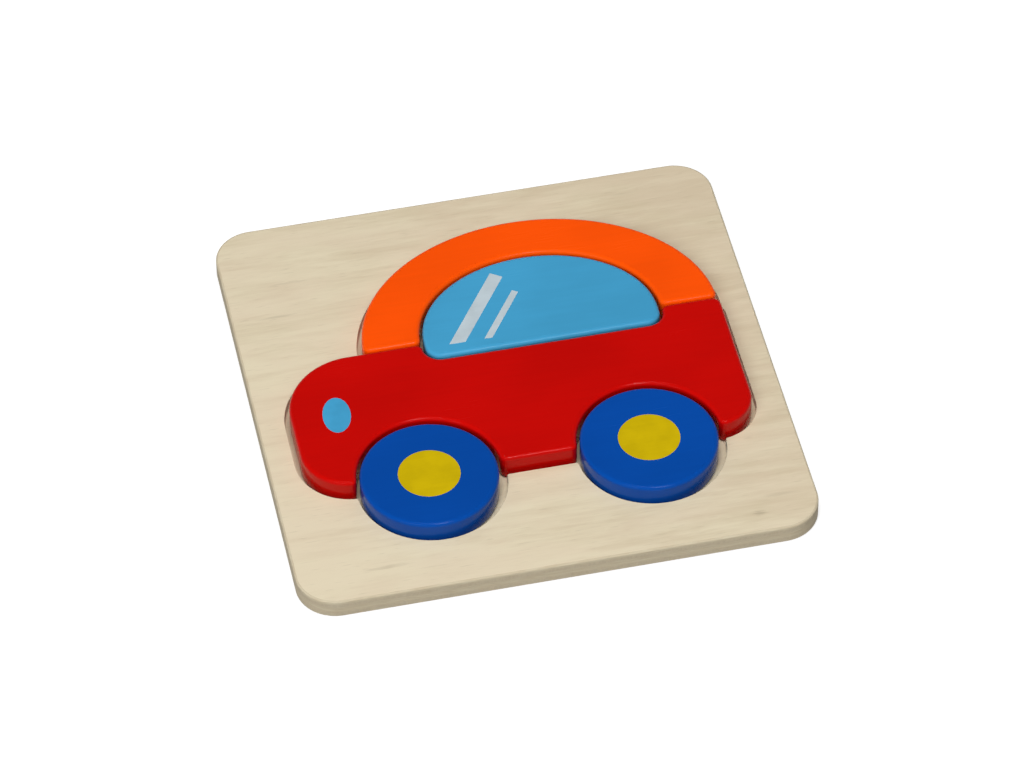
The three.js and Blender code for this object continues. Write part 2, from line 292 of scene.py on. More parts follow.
def lower_crossing(centre, radius, other_centre, other_radius):
    """The lower of the two points where two circles cross, from the line between their centres."""
    centre, other_centre = np.array(centre, float), np.array(other_centre, float)
    way = other_centre - centre
    apart = np.linalg.norm(way)
    along = (apart**2 + radius**2 - other_radius**2) / (2 * apart)
    aside = np.sqrt(radius**2 - along**2)
    normal = np.array([-way[1], way[0]]) / apart
    pair = centre + way * along / apart + np.array([[aside], [-aside]]) * normal
    return pair[np.argmin(pair[:, 1])]


def lengths_along(points):
    """Distance of each point of a closed outline from its first one, and the whole length."""
    steps = np.linalg.norm(np.roll(points, -1, axis=0) - points, axis=1)
    return np.concatenate([[0], np.cumsum(steps)[:-1]]), steps.sum()


def turns(points):
    """The angle by which a closed outline turns at each point, positive to the left."""
    steps = np.roll(points, -1, axis=0) - points
    heading = np.arctan2(steps[:, 1], steps[:, 0])
    change = heading - np.roll(heading, 1)
    return (change + np.pi) % (2 * np.pi) - np.pi


def sanded(points, cut):
    """An outline whose sharp corners are replaced by quadratic curves over a cut length on both sides.

    Such a curve is (1-t)^2 times its start, 2t(1-t) times the corner and t^2 times its end."""
    along, whole = lengths_along(points)
    sharp = np.abs(turns(points)) > SHARP_TURN
    middles = along[sharp][:, None]
    share = np.linspace(0, 1, 2 * int(cut / DRAWN_STEP))
    ends = [np.stack([np.interp(middles + side * cut, along, points[:, k], period=whole) for k in (0, 1)], -1)
            for side in (-1, 1)]
    start, end = (run.reshape(-1, 1, 2) for run in ends)
    t = share[None, :, None]
    curves = (1 - t) ** 2 * start + 2 * t * (1 - t) * points[sharp][:, None] + t**2 * end
    apart = np.abs((along[:, None] - along[sharp] + whole / 2) % whole - whole / 2)
    kept = (apart > cut).all(axis=1)
    order = np.argsort(np.concatenate([along[kept], (middles + (2 * share - 1) * cut).ravel() % whole]))
    return np.concatenate([points[kept], curves.reshape(-1, 2)])[order]


def closed(*runs, step, cut=0.0):
    """One closed outline from runs laid end to end, sanded at its corners, with evenly spaced points."""
    points = np.concatenate(runs)
    moved = np.linalg.norm(points - np.roll(points, 1, axis=0), axis=1) > DRAWN_STEP / 100
    points = points[moved]
    if cut:
        points = sanded(points, cut)
    along, whole = lengths_along(points)
    even = np.linspace(0, whole, int(whole / step), endpoint=False)
    return np.column_stack([np.interp(even, along, points[:, k], period=whole) for k in (0, 1)])


def outward(points):
    """Unit normals of a closed outline: its direction turned to the right."""
    way = np.roll(points, -1, axis=0) - np.roll(points, 1, axis=0)
    normal = np.column_stack([way[:, 1], -way[:, 0]])
    return normal / np.linalg.norm(normal, axis=1)[:, None]


def ellipse(centre, width, height, tilt=0.0):
    """An ellipse about a centre, turned by an angle."""
    flat = closed(arc((0, 0), (width / 2, height / 2), 0, 360), step=PIECE_STEP)
    turn = np.array([[np.cos(tilt), np.sin(tilt)], [-np.sin(tilt), np.cos(tilt)]])
    return flat @ turn + np.array(centre)


# The car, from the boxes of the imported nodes


def middle(node):
    """Centre of a node's box, seen from above."""
    low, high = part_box(node)
    return np.array([(low.x + high.x) / 2, (low.y + high.y) / 2])


def width(node):
    """Size of a node along X."""
    low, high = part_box(node)
    return high.x - low.x


def car_layout(sizes):
    """Where the parts of the car lie on the tray."""
    slip = np.array(sizes.wheel_slip)
    body_low, body_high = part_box("car_body")
    roof_low, roof_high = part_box("roof")
    window_low, window_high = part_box("window")
    return SimpleNamespace(
        front=body_low.x, rear=body_high.x, sill=body_low.y, top=body_high.y,
        low=body_low.z, high=body_high.z,
        front_arch=middle("front_wheel") - slip, rear_arch=middle("rear_wheel") - slip,
        wheel_radius=width("front_wheel") / 2,
        window_x=middle("window")[0], window_half=width("window") / 2, window_y=window_low.y,
        window_arch=window_high.y - roof_low.y,
        roof_half=width("roof") / 2, roof_y=roof_low.y, roof_arch=roof_high.y - roof_low.y,
    )


def body_outline(car, sizes):
    """Lower edge with two arches, tail, upper edge with the window's notch, hood and nose."""
    arch = car.wheel_radius + sizes.wheel_gap
    nose_centre = (car.front + sizes.nose_radius, car.sill + sizes.nose_radius)
    nose_end = lower_crossing(nose_centre, sizes.nose_radius, car.front_arch, arch)
    reach = half_chord(car.front_arch, arch, car.sill)
    level = bearing(car.front_arch, (car.front_arch[0] + reach, car.sill))
    front_end = (car.front_arch[0] + reach, car.sill)
    rear_start = (car.rear_arch[0] - reach, car.sill)
    rear_end = (car.rear_arch[0] + reach, car.sill)
    tail, boot, hood = sizes.tail_radius, sizes.boot_radius, sizes.hood_radius
    corner, gap = sizes.window_corner, sizes.window_gap
    half = car.window_half + gap
    inner = car.window_half - corner
    corner_y = car.window_y + corner
    return closed(
        line((car.front, car.top - hood), (car.front, nose_centre[1])),
        arc(nose_centre, sizes.nose_radius, 180, bearing(nose_centre, nose_end)),
        arc(car.front_arch, arch, bearing(car.front_arch, nose_end), level),
        line(front_end, rear_start),
        arc(car.rear_arch, arch, bearing(car.rear_arch, rear_start), level),
        line(rear_end, (car.rear - tail, car.sill)),
        arc((car.rear - tail, car.sill + tail), tail, 270, 360),
        arc((car.rear - boot, car.top - boot), boot, 0, 90),
        line((car.rear - boot, car.top), (car.window_x + half, car.top)),
        line((car.window_x + half, car.top), (car.window_x + half, corner_y)),
        arc((car.window_x + inner, corner_y), corner + gap, 0, -90),
        arc((car.window_x - inner, corner_y), corner + gap, -90, -180),
        line((car.window_x - half, corner_y), (car.window_x - half, car.top)),
        line((car.window_x - half, car.top), (car.front + hood, car.top)),
        arc((car.front + hood, car.top - hood), hood, 90, 180),
        step=PIECE_STEP, cut=sizes.corner_cut,
    )


def roof_outline(car, sizes):
    """The band between the roof's own arch and the window's arch with its gap."""
    crown = (car.window_x, car.roof_y)
    half = car.window_half + sizes.window_gap
    return closed(
        arc(crown, (car.roof_half, car.roof_arch), 0, 180),
        line((car.window_x - car.roof_half, car.roof_y), (car.window_x - half, car.roof_y)),
        arc(crown, (half, car.window_arch + sizes.window_gap), 180, 0),
        line((car.window_x + half, car.roof_y), (car.window_x + car.roof_half, car.roof_y)),
        step=PIECE_STEP, cut=sizes.corner_cut,
    )


def window_outline(car, sizes):
    """A level lower edge between two rounded corners, under half an ellipse."""
    inner = car.window_half - sizes.window_corner
    corner_y = car.window_y + sizes.window_corner
    return closed(
        arc((car.window_x - inner, corner_y), sizes.window_corner, 180, 270),
        arc((car.window_x + inner, corner_y), sizes.window_corner, 270, 360),
        arc((car.window_x, car.roof_y), (car.window_half, car.window_arch), 0, 180),
        step=PIECE_STEP,
    )


def recess_outline(car, sizes, tray):
    """Roof, body and wheels grown by their clearance, joined, and moved back by the way the pieces slid."""
    play = tray.clearance
    pocket = car.wheel_radius + tray.pocket_clearance
    aside = np.array([tray.pocket_shift, 0])
    front_pocket, rear_pocket = car.front_arch + aside, car.rear_arch + aside
    nose_centre = (car.front + sizes.nose_radius, car.sill + sizes.nose_radius)
    tail_centre = (car.rear - sizes.tail_radius, car.sill + sizes.tail_radius)
    boot_centre = (car.rear - sizes.boot_radius, car.top - sizes.boot_radius)
    nose_end = lower_crossing(nose_centre, sizes.nose_radius + play, front_pocket, pocket)
    tail_start = lower_crossing(rear_pocket, pocket, tail_centre, sizes.tail_radius + play)
    reach = half_chord(front_pocket, pocket, car.sill - play)
    sill_start = (front_pocket[0] + reach, car.sill - play)
    sill_end = (rear_pocket[0] - reach, car.sill - play)
    foot = car.window_x + car.roof_half + play
    boot_end = np.degrees(np.arccos((foot - boot_centre[0]) / (sizes.boot_radius + play)))
    arch_radii = (car.roof_half + play, car.roof_arch + play)
    arch_end = 180 - np.degrees(np.arcsin((car.top + play - car.roof_y) / arch_radii[1]))
    hood_centre = (car.front + sizes.hood_radius, car.top - sizes.hood_radius)
    outline = closed(
        line((car.rear + play, car.sill + sizes.tail_radius), (car.rear + play, boot_centre[1])),
        arc(boot_centre, sizes.boot_radius + play, 0, boot_end),
        arc((car.window_x, car.roof_y), arch_radii, 0, arch_end),
        arc(hood_centre, sizes.hood_radius + play, 90, 180),
        arc(nose_centre, sizes.nose_radius + play, 180, bearing(nose_centre, nose_end)),
        arc(front_pocket, pocket, bearing(front_pocket, nose_end), bearing(front_pocket, sill_start)),
        line(sill_start, sill_end),
        arc(rear_pocket, pocket, bearing(rear_pocket, sill_end), bearing(rear_pocket, tail_start)),
        arc(tail_centre, sizes.tail_radius + play, bearing(tail_centre, tail_start), 360),
        step=TRAY_STEP, cut=play / 3,
    )
    return outline - np.array(tray.slide)


def tray_outline(tray):
    """A square with rounded corners, as large as the tray's base."""
    low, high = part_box("tray_base")
    round_ = tray.corner_radius
    return closed(
        arc((high.x - round_, low.y + round_), round_, 270, 360),
        arc((high.x - round_, high.y - round_), round_, 0, 90),
        arc((low.x + round_, high.y - round_), round_, 90, 180),
        arc((low.x + round_, low.y + round_), round_, 180, 270),
        step=TRAY_STEP,
    )


def shine_outline(node, bar, lean):
    """A leaning bar with a level foot and a square top, filling its node's box."""
    low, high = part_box(node)
    foot = np.array([low.x, low.y])
    foot_width = bar / np.cos(lean)
    length = (high.y - low.y - bar / 2 * np.sin(lean)) / np.cos(lean)
    upright = foot + np.array([foot_width / 2, 0]) + length * np.array([np.sin(lean), np.cos(lean)])
    across = bar / 2 * np.array([np.cos(lean), -np.sin(lean)])
    right = foot + np.array([foot_width, 0])
    corners = [foot, right, upright + across, upright - across]
    runs = [line(a, b) for a, b in zip(corners, corners[1:] + corners[:1])]
    return closed(*runs, step=PIECE_STEP)


# Meshes


def new_object(name, points, faces, flat):
    """An object at the origin, from points and arrays of faces. flat says which arrays are shaded flat."""
    sizes = np.concatenate([np.full(len(group), group.shape[1]) for group in faces])
    corners = np.concatenate([group.ravel() for group in faces])
    smooth = np.concatenate([np.full(len(group), not is_flat) for group, is_flat in zip(faces, flat)])
    mesh = bpy.data.meshes.new(name)
    mesh.vertices.add(len(points))
    mesh.vertices.foreach_set("co", points.astype(np.float32).ravel())
    mesh.loops.add(len(corners))
    mesh.loops.foreach_set("vertex_index", corners.astype(np.int32))
    mesh.polygons.add(len(sizes))
    mesh.polygons.foreach_set("loop_start", (np.cumsum(sizes) - sizes).astype(np.int32))
    mesh.polygons.foreach_set("use_smooth", smooth)
    mesh.update(calc_edges=True)
    if mesh.validate():
        raise RuntimeError(f"{name} has faces that are not sound")
    piece = bpy.data.objects.new(name, mesh)
    bpy.context.scene.collection.objects.link(piece)
    return piece


def strip_faces(columns, rows, around):
    """Quads between neighbouring columns of a closed grid, for each pair of rows in around."""
    here = np.arange(columns)[:, None]
    there = np.roll(np.arange(columns), -1)[:, None]
    lower, upper = np.array(around).T
    return np.stack(
        [here * rows + lower, there * rows + lower, there * rows + upper, here * rows + upper], axis=-1
    ).reshape(-1, 4)


def eased_round(points, radius, wander):
    """The edge radius at each point of an outline: less at tight corners, and varied as by hand sanding."""
    steps = np.linalg.norm(np.roll(points, -1, axis=0) - points, axis=1)
    bend = np.maximum(turns(points) / steps, 1e-9)
    limit = np.minimum(radius, TIGHTEST_ROUND / bend)
    near = np.arange(-EASED_POINTS, EASED_POINTS + 1)
    tightest = np.min([np.roll(limit, k) for k in near], axis=0)
    eased = np.mean([np.roll(tightest, k) for k in near], axis=0)
    share = np.linspace(0, 2 * np.pi, len(points), endpoint=False)
    sway = np.mean([np.sin(waves * share + start) for waves, start in SANDING_SWAY], axis=0)
    return np.minimum(eased * (1 + wander * sway), limit)


def edge_points(outline, inward, low, high, lower_round, upper_round):
    """The section of a board's edge carried along its outline, as a grid of points.

    The section is a quarter circle, a wall and a quarter circle. At the angle a the lower one is r(1 - sin a)
    inside the outline and r(1 - cos a) over the lower face, and the upper one is its mirror image."""
    angle = np.linspace(0, np.pi / 2, ROUND_STEPS)
    lower, upper = (np.broadcast_to(r, len(outline))[:, None] for r in (lower_round, upper_round))
    inset = np.hstack([lower * (1 - np.sin(angle)), upper * (1 - np.cos(angle))])
    height = np.hstack([low + lower * (1 - np.cos(angle)), high - upper * (1 - np.sin(angle))])
    plan = outline[:, None] + inward[:, None] * inset[..., None]
    return np.concatenate([plan, height[..., None]], axis=-1)


def board(name, outline, low, high, lower_round, upper_round):
    """A board: its edge carried along its outline, with a flat face above and below.

    The attribute edge is 1 in the middle of a rounded edge and 0 on flat faces and walls."""
    points = edge_points(outline, -outward(outline), low, high, lower_round, upper_round)
    columns, rows = points.shape[:2]
    wall = strip_faces(columns, rows, [(k, k + 1) for k in range(rows - 1)])
    under = (np.arange(columns)[::-1] * rows)[None]
    over = (np.arange(columns) * rows + rows - 1)[None]
    piece = new_object(name, points.reshape(-1, 3), [wall, under, over], [False, True, True])
    edge = np.tile(np.sin(np.linspace(0, np.pi, ROUND_STEPS)), 2 * columns)
    piece.data.attributes.new("edge", "FLOAT", "POINT").data.foreach_set("value", edge.astype(np.float32))
    return piece


def between(start, end, count):
    """The steps from one point of a closed outline forwards to another."""
    return (start + np.arange((end - start) % count + 1)) % count


def framed_board(name, inner, outer, low, high, tray):
    """A board with an opening: one edge carried round the opening and one round the outside.

    Its flat faces are two halves each, which meet left and right of the opening."""
    rim = edge_points(inner, outward(inner), low, high, 0.0, tray.rim_break)
    side = edge_points(outer, -outward(outer), low, high, tray.glue_line, tray.edge_round)
    rows = rim.shape[1]
    shift = len(outer) * rows
    walls = [strip_faces(len(outer), rows, [(k, k + 1) for k in range(rows - 1)]),
             strip_faces(len(inner), rows, [(k + 1, k) for k in range(rows - 1)]) + shift]
    left, right = inner[:, 0].argmin(), inner[:, 0].argmax()
    far_left, far_right = (
        np.linalg.norm(outer - np.array([x, y]), axis=1).argmin()
        for x, y in ((outer[:, 0].min(), inner[left, 1]), (outer[:, 0].max(), inner[right, 1])))
    flats = []
    halves = (((far_left, far_right), (left, right)), ((far_right, far_left), (right, left)))
    for outer_ends, inner_ends in halves:
        around = between(*outer_ends, len(outer)) * rows
        back = between(*inner_ends, len(inner))[::-1] * rows + shift
        half = np.concatenate([around, back])
        flats += [half[None] + rows - 1, half[None, ::-1]]
    points = np.concatenate([side.reshape(-1, 3), rim.reshape(-1, 3)])
    return new_object(name, points, walls + flats, [False] * len(walls) + [True] * len(flats))


def carried(piece, body, slot, *nodes):
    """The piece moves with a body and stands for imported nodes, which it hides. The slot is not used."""
    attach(piece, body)
    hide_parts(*nodes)


# Materials


class Shader:
    """A new material with its shader, and short ways to add nodes to it."""

    def __init__(self, name):
        self.material = bpy.data.materials.new(name)
        self.material.use_nodes = True
        self.tree = self.material.node_tree
        self.surface = self.tree.nodes["Principled BSDF"]
        self.place = self.add("ShaderNodeTexCoord").outputs["Object"]

    def add(self, kind, settings=None, **sockets):
        """A node with its settings, and its sockets set or linked. A socket's name has _ for each space."""
        node = self.tree.nodes.new(kind)
        for key, value in (settings or {}).items():
            setattr(node, key, value)
        for key, value in sockets.items():
            self.feed(node.inputs[key.replace("_", " ")], value)
        return node

    def feed(self, socket, value):
        """Links an output to a socket, or sets the socket's own value."""
        if isinstance(value, bpy.types.NodeSocket):
            self.tree.links.new(value, socket)
        else:
            socket.default_value = value

    def noise(self, stretch, detail=2.0, roughness=0.5, shift=(0, 0, 0), bend=0.0):
        """Noise from 0 to 1, with stretch as its waves per metre along each axis. A bend makes it waver."""
        spread = self.add("ShaderNodeMapping", Vector=self.place, Scale=stretch, Location=shift)
        wave = self.add("ShaderNodeTexNoise", Vector=spread.outputs["Vector"], Scale=1.0, Detail=detail,
                        Roughness=roughness, Distortion=bend)
        return wave.outputs["Fac"]

    def mark(self, centre, length, breadth, ragged):
        """A ragged mark of a length along X and a breadth, which fades from 1 in its middle to 0."""
        near = self.add("ShaderNodeMapping", {"vector_type": "TEXTURE"}, Vector=self.place, Location=centre,
                        Scale=(length / 2, breadth / 2, 1.0))
        away = self.add("ShaderNodeVectorMath", {"operation": "LENGTH"})
        self.feed(away.inputs[0], near.outputs["Vector"])
        return self.ranged(self.summed(away.outputs["Value"], ragged, 1.6), 0.8, 1.9, 1.0, 0.0)

    def ranged(self, value, low, high, to_low, to_high):
        """A value moved from one range to another, held at the ends."""
        moved = self.add(
            "ShaderNodeMapRange", {"interpolation_type": "SMOOTHSTEP"}, Value=value,
            From_Min=low, From_Max=high, To_Min=to_low, To_Max=to_high)
        return moved.outputs["Result"]

    def mixed(self, share, first, second):
        """A colour between two, by a share."""
        mix = self.add("ShaderNodeMix", {"data_type": "RGBA"})
        self.feed(mix.inputs["Factor"], share)
        self.feed(mix.inputs[6], first)
        self.feed(mix.inputs[7], second)
        return mix.outputs[2]

    def summed(self, first, second, share):
        """First plus a share of second."""
        both = self.add("ShaderNodeMath", {"operation": "MULTIPLY_ADD"})
        self.feed(both.inputs[0], second)
        both.inputs[1].default_value = share
        self.feed(both.inputs[2], first)
        return both.outputs[0]

    def raised(self, height, depth):
        """A bump of a depth in metres."""
        bump = self.add("ShaderNodeBump", Height=height, Distance=depth, Strength=1.0)
        self.feed(self.surface.inputs["Normal"], bump.outputs["Normal"])


def tinted(colour, factor):
    """A colour made darker or lighter, with full alpha."""
    return (*(min(1.0, channel * factor) for channel in colour), 1.0)


def gloss_paint(name, colour, seed):
    """Sprayed gloss paint: uneven in tone, lighter on the edges as thin paint and as a painted highlight, with
    orange peel and a trace of the grain.
    """
    shader = Shader(name)
    shift = (seed, 2.3 * seed, 0.7 * seed)
    drift = shader.noise((22, 34, 34), detail=3.0, shift=shift)
    grain = shader.noise(GRAIN_WAVES, detail=3.0, roughness=0.6, shift=shift)
    peel = shader.noise((1100, 1100, 1100), detail=1.0, shift=shift)
    tone = shader.summed(drift, grain, 0.25)
    body = shader.mixed(shader.ranged(tone, 0.4, 0.85, 0.0, 1.0), tinted(colour, 0.93), tinted(colour, 1.06))
    edge = shader.add("ShaderNodeAttribute", {"attribute_name": "edge"}).outputs["Fac"]
    # Lighter colour on the rounded edges: partly thin, worn paint and partly a painted highlight.
    worn_and_highlit = shader.ranged(shader.summed(edge, drift, 0.5), 0.7, 1.4, 0.0, 0.3)
    shader.feed(shader.surface.inputs["Base Color"], shader.mixed(worn_and_highlit, body, tinted(colour, 1.3)))
    shader.feed(shader.surface.inputs["Roughness"], shader.ranged(tone, 0.4, 0.85, 0.18, 0.28))
    shader.surface.inputs["Specular IOR Level"].default_value = 0.18
    shader.raised(shader.summed(peel, grain, 0.5), PAINT_RELIEF)
    return shader.material


def printed_paint(name, colour, seed):
    """Thin printed paint: slightly patchy as the screen laid it down, less glossy than the coat below."""
    shader = Shader(name)
    shift = (3.1 * seed, seed, 1.7 * seed)
    patches = shader.noise((160, 160, 160), detail=3.0, shift=shift)
    grain = shader.noise(GRAIN_WAVES, detail=3.0, roughness=0.6, shift=shift)
    tone = shader.summed(patches, grain, 0.3)
    body = shader.mixed(shader.ranged(tone, 0.4, 0.9, 0.0, 1.0), tinted(colour, 0.93), tinted(colour, 1.06))
    shader.feed(shader.surface.inputs["Base Color"], body)
    shader.feed(shader.surface.inputs["Roughness"], shader.ranged(tone, 0.4, 0.9, 0.34, 0.46))
    shader.surface.inputs["Specular IOR Level"].default_value = 0.2
    shader.raised(tone, PRINT_RELIEF)
    return shader.material


def veneer(name, colours, tray):
    """Pale face veneer: bands and short streaks along X, rosy drifts, flecks, brown streaks and a knot, with
    painted shade that browns it towards +X and +Y.
    """
    shader = Shader(name)
    bands = shader.noise((26, 170, 170), detail=3.0, roughness=0.55, bend=0.6)
    streaks = shader.noise((75, 620, 620), detail=3.0, roughness=0.6, shift=(5.0, 3.0, 0.0), bend=0.4)
    fibres = shader.noise((130, 3200, 3200), detail=2.0)
    flecks = shader.noise((190, 2300, 2300), detail=1.0, shift=(7.0, 2.0, 0.0))
    hue = shader.noise((40, 90, 90), detail=2.0, shift=(3.0, 1.0, 0.0))
    split = shader.add("ShaderNodeSeparateXYZ", Vector=shader.place)
    # Painted shade: the tone grows towards +X and a little towards +Y, so the veneer is browner there.
    painted_shade_slope = shader.summed(split.outputs["X"], split.outputs["Y"], 0.4)
    tone = shader.summed(shader.summed(shader.summed(bands, streaks, 0.7), fibres, 0.25), painted_shade_slope, 2.2)
    pale, brown, rosy = (
        tinted(wood, 1.0) for wood in (colours.pale_wood, colours.brown_wood, colours.rosy_wood))
    fleck_tint, streak_tint, knot_tint = (tinted(colours.brown_wood, shade) for shade in (0.75, 0.72, 0.55))
    wood = shader.mixed(shader.ranged(tone, 0.65, 1.45, 0.0, 1.0), pale, brown)
    wood = shader.mixed(shader.ranged(hue, 0.35, 0.65, 0.0, 0.3), wood, rosy)
    wood = shader.mixed(shader.ranged(flecks, 0.64, 0.78, 0.0, 0.3), wood, fleck_tint)
    ragged = shader.summed(streaks, flecks, 0.5)
    for x, y, length, breadth in BROWN_STREAKS:
        streak = shader.mark((x, y, tray.knot[2]), length, breadth, ragged)
        wood = shader.mixed(shader.ranged(streak, 0.0, 1.0, 0.0, 0.4), wood, streak_tint)
    knot = shader.mark(tray.knot, *KNOT_SIZE, flecks)
    wood = shader.mixed(shader.ranged(knot, 0.0, 1.0, 0.0, 0.45), wood, knot_tint)
    shader.feed(shader.surface.inputs["Base Color"], wood)
    shader.feed(shader.surface.inputs["Roughness"], shader.ranged(tone, 0.6, 1.35, 0.5, 0.62))
    shader.surface.inputs["Specular IOR Level"].default_value = 0.2
    shader.raised(shader.summed(streaks, fibres, 0.6), WOOD_RELIEF)
    return shader.material


def ply_edge(name, colours, sheet):
    """Sawn plywood edge: in each sheet two face plies with a darker, rougher middle ply between them."""
    shader = Shader(name)
    split = shader.add("ShaderNodeSeparateXYZ", Vector=shader.place)
    waver = shader.noise((60, 60, 0.0), detail=2.0)
    height = shader.summed(split.outputs["Z"], waver, PLY_WANDER)
    layer = shader.add("ShaderNodeMath", {"operation": "PINGPONG"})
    shader.feed(layer.inputs[0], height)
    layer.inputs[1].default_value = sheet / 2
    middle_ply = shader.ranged(layer.outputs[0], 0.27 * sheet, 0.33 * sheet, 0.0, 0.3)
    face = shader.noise((160, 160, 2500), detail=3.0)
    ends = shader.noise((1900, 1900, 900), detail=2.0, shift=(4.0, 1.0, 0.0))
    light = shader.mixed(shader.ranged(face, 0.3, 0.7, 0.0, 1.0), tinted(colours.pale_wood, 0.82),
                         tinted(colours.brown_wood, 0.91))
    dark = shader.mixed(shader.ranged(ends, 0.35, 0.7, 0.0, 1.0), tinted(colours.core_wood, 0.95),
                        tinted(colours.core_wood, 0.72))
    shader.feed(shader.surface.inputs["Base Color"], shader.mixed(middle_ply, light, dark))
    shader.feed(shader.surface.inputs["Roughness"], shader.ranged(ends, 0.3, 0.7, 0.6, 0.75))
    shader.surface.inputs["Specular IOR Level"].default_value = 0.15
    shader.raised(shader.summed(face, ends, 0.8), WOOD_RELIEF)
    return shader.material


def floor_finish(name):
    """Floor that throws back some light and takes the shadow, lifted to white where the camera sees it."""
    shader = Shader(name)
    shade = shader.noise((2, 2, 2))
    darker, lighter = (tinted(WHITE[:3], tone) for tone in FLOOR_SHADES)
    shader.feed(shader.surface.inputs["Base Color"], shader.mixed(shade, darker, lighter))
    shader.surface.inputs["Roughness"].default_value = 0.9
    shader.surface.inputs["Specular IOR Level"].default_value = 0.0
    shader.surface.inputs["Emission Color"].default_value = WHITE
    rays = shader.add("ShaderNodeLightPath")
    seen = rays.outputs["Is Camera Ray"]
    shader.feed(shader.surface.inputs["Emission Strength"], shader.ranged(seen, 0.0, 1.0, 0.0, FLOOR_LIFT))
    return shader.material


# Operators, one for each piece or group of like pieces and one for the stage


class PUZZLE_OT_tray(bpy.types.Operator):
    """Build the tray: a backing sheet, and a front sheet with the recess cut out of it"""

    bl_idname = "puzzle.tray"
    bl_label = "Tray"

    def execute(self, context):
        scene = context.scene
        tray, colours = scene.puzzle_tray, scene.puzzle_finishes
        outer = tray_outline(tray)
        inner = recess_outline(car_layout(scene.puzzle_pieces), scene.puzzle_pieces, tray)
        base_low, base_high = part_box("tray_base")
        frame_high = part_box("tray_frame")[1]
        face = veneer("pale_veneer", colours, tray)
        sawn = ply_edge("sawn_ply_edge", colours, base_high.z - base_low.z)
        base = board("backing_sheet", outer, base_low.z, base_high.z, tray.edge_round, tray.glue_line)
        front = framed_board("front_sheet", inner, outer, base_high.z, frame_high.z, tray)
        for piece, node in ((base, "tray_base"), (front, "tray_frame")):
            piece.data.materials.append(face)
            piece.data.materials.append(sawn)
            smooth = np.zeros(len(piece.data.polygons), bool)
            piece.data.polygons.foreach_get("use_smooth", smooth)
            piece.data.polygons.foreach_set("material_index", smooth.astype(np.int32))
            carried(piece, "tray", "plywood", node)
        return {"FINISHED"}


def loose_piece(context, node, outline, paint, slot):
    """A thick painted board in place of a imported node."""
    sizes = context.scene.puzzle_pieces
    low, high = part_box(node)
    round_ = eased_round(outline, sizes.edge_round, sizes.edge_wander)
    piece = board(f"painted_{node}", outline, low.z, high.z, round_, round_)
    piece.data.materials.append(paint)
    carried(piece, node, slot, node)


def printed_mark(context, node, body, outline, print_, slot):
    """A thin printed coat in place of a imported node, on top of the piece that carries it."""
    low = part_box(node)[0]
    thickness = context.scene.puzzle_marks.thickness
    piece = board(f"printed_{node}", outline, low.z, low.z + thickness, 0.0, thickness)
    piece.data.materials.append(print_)
    carried(piece, body, slot, node)


class PUZZLE_OT_roof(bpy.types.Operator):
    """Build the orange roof"""

    bl_idname = "puzzle.roof"
    bl_label = "Roof"

    def execute(self, context):
        scene = context.scene
        paint = gloss_paint("orange_gloss_paint", scene.puzzle_finishes.orange, 1.0)
        sizes = scene.puzzle_pieces
        loose_piece(context, "roof", roof_outline(car_layout(sizes), sizes), paint, "orange_paint")
        return {"FINISHED"}


class PUZZLE_OT_window(bpy.types.Operator):
    """Build the sky-blue window with its two shine bars"""

    bl_idname = "puzzle.window"
    bl_label = "Window"

    def execute(self, context):
        scene = context.scene
        colours, marks = scene.puzzle_finishes, scene.puzzle_marks
        paint = gloss_paint("sky_blue_gloss_paint", colours.sky_blue, 2.0)
        sizes = scene.puzzle_pieces
        loose_piece(context, "window", window_outline(car_layout(sizes), sizes), paint, "sky_blue_paint")
        white = printed_paint("white_print", colours.shine, 3.0)
        for node, bar in (("wide_shine", marks.wide_shine), ("narrow_shine", marks.narrow_shine)):
            outline = shine_outline(node, bar, marks.shine_lean)
            printed_mark(context, node, "window", outline, white, "white_paint")
        return {"FINISHED"}


class PUZZLE_OT_body(bpy.types.Operator):
    """Build the red body with its headlight"""

    bl_idname = "puzzle.body"
    bl_label = "Body"

    def execute(self, context):
        scene = context.scene
        colours, marks = scene.puzzle_finishes, scene.puzzle_marks
        paint = gloss_paint("red_gloss_paint", colours.red, 4.0)
        sizes = scene.puzzle_pieces
        loose_piece(context, "car_body", body_outline(car_layout(sizes), sizes), paint, "red_paint")
        lamp = ellipse(middle("headlight"), marks.lamp_width, marks.lamp_height, marks.lamp_tilt)
        blue = printed_paint("sky_blue_print", colours.sky_blue, 5.0)
        printed_mark(context, "headlight", "car_body", lamp, blue, "sky_blue_paint")
        return {"FINISHED"}


class PUZZLE_OT_wheels(bpy.types.Operator):
    """Build the two blue wheels with their yellow hub spots"""

    bl_idname = "puzzle.wheels"
    bl_label = "Wheels"

    def execute(self, context):
        colours = context.scene.puzzle_finishes
        paint = gloss_paint("blue_gloss_paint", colours.blue, 6.0)
        yellow = printed_paint("yellow_print", colours.yellow, 7.0)
        for wheel, spot in (("front_wheel", "front_hub_spot"), ("rear_wheel", "rear_hub_spot")):
            disc = ellipse(middle(wheel), width(wheel), width(wheel))
            loose_piece(context, wheel, disc, paint, "blue_paint")
            rim = ellipse(middle(spot), width(spot), width(spot))
            printed_mark(context, spot, wheel, rim, yellow, "yellow_paint")
        return {"FINISHED"}


